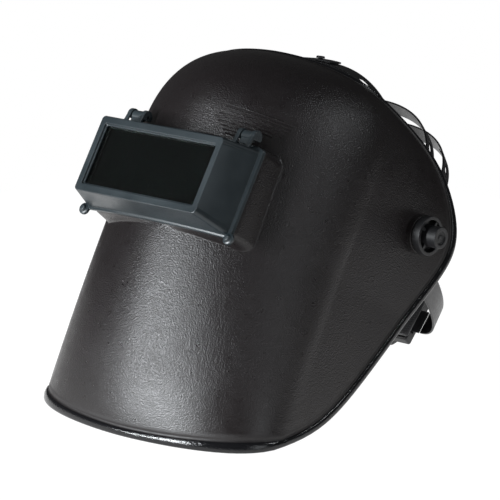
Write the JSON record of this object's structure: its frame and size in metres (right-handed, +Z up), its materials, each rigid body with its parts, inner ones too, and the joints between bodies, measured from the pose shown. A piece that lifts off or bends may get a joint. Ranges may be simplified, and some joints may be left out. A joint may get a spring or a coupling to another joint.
{
  "type": "welding helmet",
  "caption": "Welding helmet: curved face shell with a flip-up dark filter holder, pivoting on a strap headgear tightened by a nape ratchet knob.",
  "frame": {"origin": "on the table under the middle of the standing helmet's bounding box", "axes": "+Z up, the face towards -Y, the wearer's left towards +X"},
  "size_m": [0.266, 0.3305, 0.2551],
  "materials": {
    "shell_plastic": "dark moulded nylon with a fine pebbled grain",
    "holder_plastic": "dark blue-grey semi-gloss moulding",
    "clear_plate": "clear polycarbonate plate",
    "dark_filter": "near-black welding filter glass",
    "gasket_rubber": "matte black rubber",
    "zinc_steel": "zinc-plated steel",
    "band_plastic": "flexible black strap plastic, semi-gloss",
    "ratchet_plastic": "black moulded plastic, satin",
    "washer_fibre": "black fibre washer, matte",
    "foam_pad": "black cloth over foam"
  },
  "bodies": {
    "shell": {"shell": "shell_plastic", "base_frame": "holder_plastic", "inner_frame": "holder_plastic", "frame_screw_lower_left": "zinc_steel", "frame_screw_lower_right": "zinc_steel", "frame_screw_upper_left": "zinc_steel", "frame_screw_upper_right": "zinc_steel", "safety_lens": "clear_plate", "safety_lens_retainer": "ratchet_plastic", "hinge_pin_left": "zinc_steel", "hinge_pin_right": "zinc_steel"},
    "flip_front": {"flip_box": "holder_plastic", "cover_lens": "clear_plate", "lens_gasket": "gasket_rubber", "shade_lens": "dark_filter", "lens_spring_frame": "zinc_steel"},
    "headgear": {"front_band": "band_plastic", "sweatband": "foam_pad", "crown_strap_left": "band_plastic", "crown_strap_right": "band_plastic", "crown_peg": "band_plastic", "mid_strap": "band_plastic", "rear_strap": "band_plastic", "ratchet_case": "ratchet_plastic", "ratchet_cover": "ratchet_plastic", "nape_pad": "foam_pad", "case_screw_lower": "zinc_steel", "case_screw_upper": "zinc_steel", "ratchet_spring": "zinc_steel", "pivot_stud_left": "zinc_steel", "pivot_stud_right": "zinc_steel", "inner_washer_left": "washer_fibre", "inner_washer_right": "washer_fibre", "outer_washer_left": "washer_fibre", "outer_washer_right": "washer_fibre", "tilt_stop_left": "zinc_steel", "tilt_stop_right": "zinc_steel", "side_arm_left": "band_plastic", "side_arm_right": "band_plastic", "rear_band_left": "band_plastic", "rear_band_right": "band_plastic", "arm_rivet_left": "zinc_steel", "arm_rivet_right": "zinc_steel", "crown_rivet_left": "zinc_steel", "crown_rivet_right": "zinc_steel", "mid_rivet_left": "zinc_steel", "mid_rivet_right": "zinc_steel", "side_rivet_left": "zinc_steel", "side_rivet_right": "zinc_steel"},
    "tension_knob_left": {"tension_knob_left": "ratchet_plastic"},
    "tension_knob_right": {"tension_knob_right": "ratchet_plastic"},
    "ratchet": {"ratchet_knob": "ratchet_plastic", "pinion": "ratchet_plastic", "knob_cap": "ratchet_plastic"},
    "rack_left": {"rack_left": "band_plastic"},
    "rack_right": {"rack_right": "band_plastic"}
  },
  "joints": [
    {"name": "flip", "type": "hinge", "parent": "shell", "child": "flip_front", "pos_m": [0, -0.07982, 0.21086], "axis": [-1, 0, 0], "range_deg": [0, 100]},
    {"name": "tilt", "type": "hinge", "parent": "shell", "child": "headgear", "pos_m": [0, 0.0394, 0.1275], "axis": [1, 0, 0], "range_deg": [0, 75]},
    {"name": "knob_left_turn", "type": "hinge", "parent": "headgear", "child": "tension_knob_left", "pos_m": [0.12, 0.0394, 0.1275], "axis": [1, 0, 0], "range_deg": [-45, 360]},
    {"name": "knob_right_turn", "type": "hinge", "parent": "headgear", "child": "tension_knob_right", "pos_m": [-0.12, 0.0394, 0.1275], "axis": [-1, 0, 0], "range_deg": [-45, 360]},
    {"name": "ratchet_turn", "type": "hinge", "parent": "headgear", "child": "ratchet", "pos_m": [0, 0.14196, 0.02349], "axis": [0, -0.7193, 0.6947], "range_deg": [0, 114]},
    {"name": "rack_left_slide", "type": "slide", "parent": "headgear", "child": "rack_left", "axis": [-1, 0, 0], "range_m": [0, 0.012]},
    {"name": "rack_right_slide", "type": "slide", "parent": "headgear", "child": "rack_right", "axis": [1, 0, 0], "range_m": [0, 0.012]}
  ],
  "couplings": [
    {"joint": "rack_left_slide", "follows": "ratchet_turn", "m_per_rad": 0.006},
    {"joint": "rack_right_slide", "follows": "ratchet_turn", "m_per_rad": 0.006}
  ]
}
